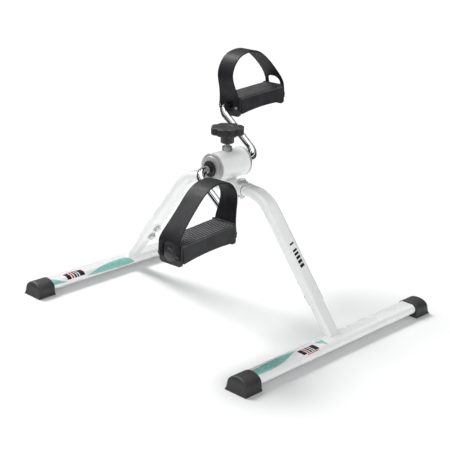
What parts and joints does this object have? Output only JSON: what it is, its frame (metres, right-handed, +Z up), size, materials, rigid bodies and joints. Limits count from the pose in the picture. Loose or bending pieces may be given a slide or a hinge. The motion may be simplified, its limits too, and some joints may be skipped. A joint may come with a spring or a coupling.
{
  "type": "pedal exerciser",
  "caption": "Free-standing pedal exerciser with capped floor bars, bent legs, a hub with a tension knob, a bent crank rod and strapped pedals.",
  "frame": {"origin": "on the floor, under the middle of the hub and midway between the floor bars", "axes": "+X along the hub and the floor bars, +Y from the front floor bar to the rear one, +Z up"},
  "size_m": [0.4005, 0.4752, 0.3643],
  "materials": {
    "white_paint": "gloss white stove enamel on steel tube",
    "cap_rubber": "satin black moulded rubber",
    "bolt_steel": "bright plated steel",
    "disc_zinc": "turned steel, zinc plated",
    "bush_black": "black moulded bearing plastic",
    "shoe_felt": "dark moulded friction material",
    "drum_nylon": "natural nylon",
    "knob_black": "fine-grained black plastic",
    "crank_chrome": "polished chrome plate",
    "pedal_black": "black moulded plastic, lightly textured",
    "cap_gloss": "semi-gloss black plastic",
    "spring_steel": "oiled spring steel",
    "strap_black": "black flexible moulded strap, satin"
  },
  "bodies": {
    "frame": {"floor_bar_front": "white_paint", "floor_bar_rear": "white_paint", "leg_stub_front": "white_paint", "leg_stub_rear": "white_paint", "leg_front": "white_paint", "leg_rear": "white_paint", "centre_sleeve": "white_paint", "hub_shell": "white_paint", "foot_cap_front_near": "cap_rubber", "foot_cap_front_far": "cap_rubber", "foot_cap_rear_near": "cap_rubber", "foot_cap_rear_far": "cap_rubber", "leg_bolts": "bolt_steel", "leg_bolt_washers": "bolt_steel", "leg_weld_nuts": "bolt_steel", "sleeve_bolts": "bolt_steel", "sleeve_bolt_washers": "bolt_steel", "sleeve_nuts": "bolt_steel", "hub_disc_near": "disc_zinc", "hub_disc_far": "disc_zinc", "tension_weld_nut": "bolt_steel", "crank_bush_near": "bush_black", "crank_bush_far": "bush_black"},
    "crank": {"crank_rod": "crank_chrome", "friction_drum": "drum_nylon", "pedal_push_nut_near": "spring_steel", "pedal_push_nut_far": "spring_steel"},
    "pedal_near": {"pedal_body_near": "pedal_black", "pedal_inner_plate_near": "pedal_black", "pedal_outer_plate_near": "pedal_black", "pedal_axle_cap_near": "cap_gloss", "pedal_strap_near": "strap_black"},
    "pedal_far": {"pedal_body_far": "pedal_black", "pedal_inner_plate_far": "pedal_black", "pedal_outer_plate_far": "pedal_black", "pedal_axle_cap_far": "cap_gloss", "pedal_strap_far": "strap_black"},
    "shoe": {"brake_shoe": "shoe_felt"},
    "knob": {"tension_knob": "knob_black", "tension_screw": "bolt_steel"}
  },
  "joints": [
    {"name": "crank_spin", "type": "hinge", "parent": "frame", "child": "crank", "pos_m": [0, 0, 0.2205], "axis": [1, 0, 0], "continuous": true},
    {"name": "pedal_near_spin", "type": "hinge", "parent": "crank", "child": "pedal_near", "pos_m": [-0.063, -0.07997, 0.16046], "axis": [-0.9976, -0.0558, -0.0419], "continuous": true},
    {"name": "pedal_far_spin", "type": "hinge", "parent": "crank", "child": "pedal_far", "pos_m": [0.065, 0.07997, 0.28054], "axis": [0.9976, 0.0558, 0.0419], "continuous": true},
    {"name": "knob_turn", "type": "hinge", "parent": "shoe", "child": "knob", "pos_m": [0, 0, 0.2705], "axis": [0, 0, 1], "range_deg": [-550, 730]},
    {"name": "shoe_lift", "type": "slide", "parent": "frame", "child": "shoe", "axis": [0, 0, 1], "range_m": [-0.00187, 0.0025]}
  ],
  "couplings": [
    {"joint": "knob_turn", "follows": "shoe_lift", "rad_per_m": 5026.5}
  ]
}
